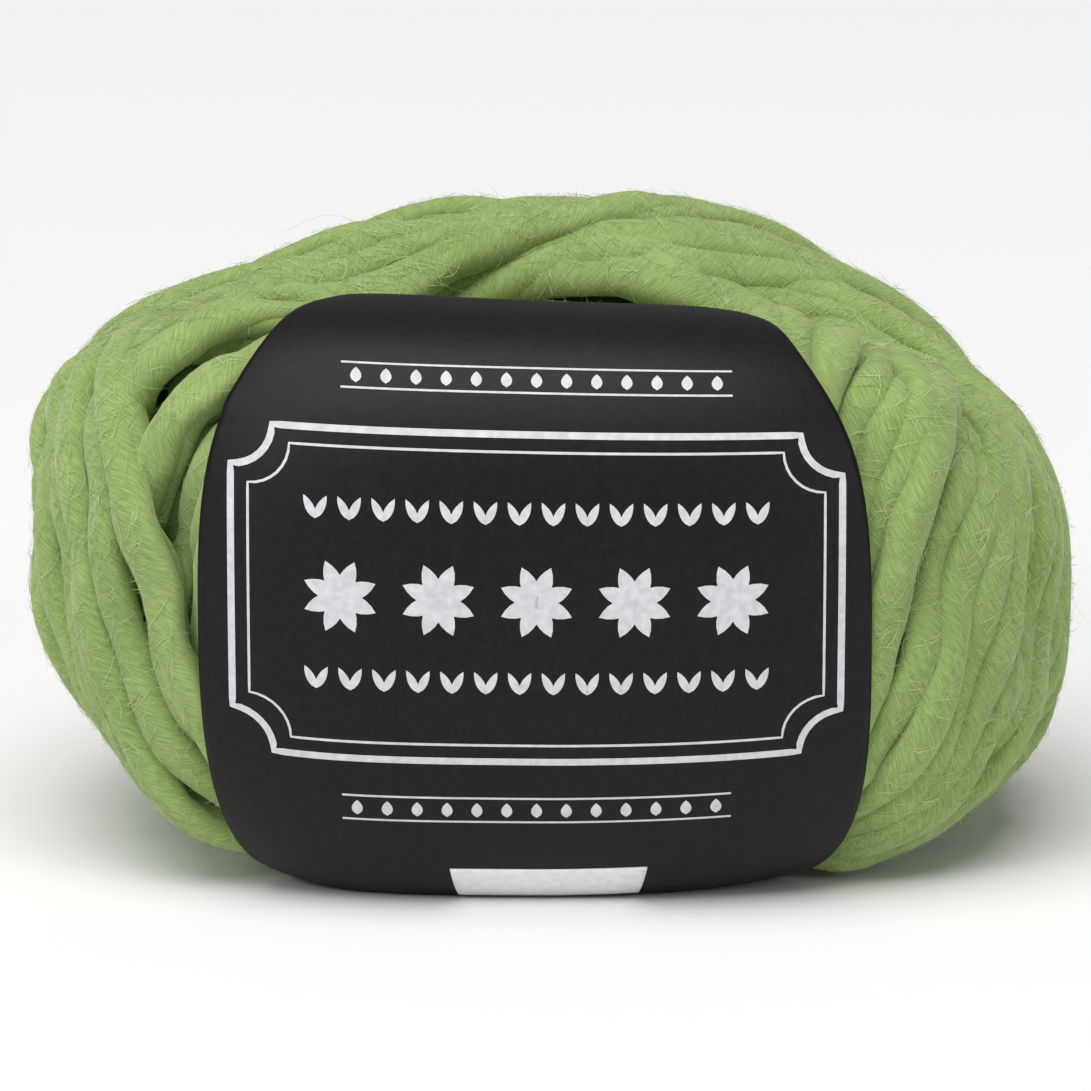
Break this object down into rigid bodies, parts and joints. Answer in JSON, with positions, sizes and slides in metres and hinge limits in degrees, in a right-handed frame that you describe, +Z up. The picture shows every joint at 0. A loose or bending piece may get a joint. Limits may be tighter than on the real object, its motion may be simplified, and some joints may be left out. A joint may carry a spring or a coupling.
{
  "type": "ball of yarn",
  "caption": "Soft ring-wound ball of chunky yarn with a narrow hole down its middle and a wide paper sleeve looped round its front",
  "frame": {"origin": "centre of the footprint, at the height of the surface that the ball rests on", "axes": "+Z up along the hole, +X along the wide side of the sleeve, the sleeve's front faces -Y"},
  "size_m": [0.1446, 0.1134, 0.0846],
  "materials": {
    "yarn": "soft fuzzy roving yarn, leaf green",
    "sleeve_paper": "matte charcoal black paper",
    "sticker_paper": "plain white sticker paper"
  },
  "bodies": {
    "root": {"yarn_ball": "yarn", "paper_sleeve": "sleeve_paper", "sticker": "sticker_paper"}
  },
  "joints": []
}
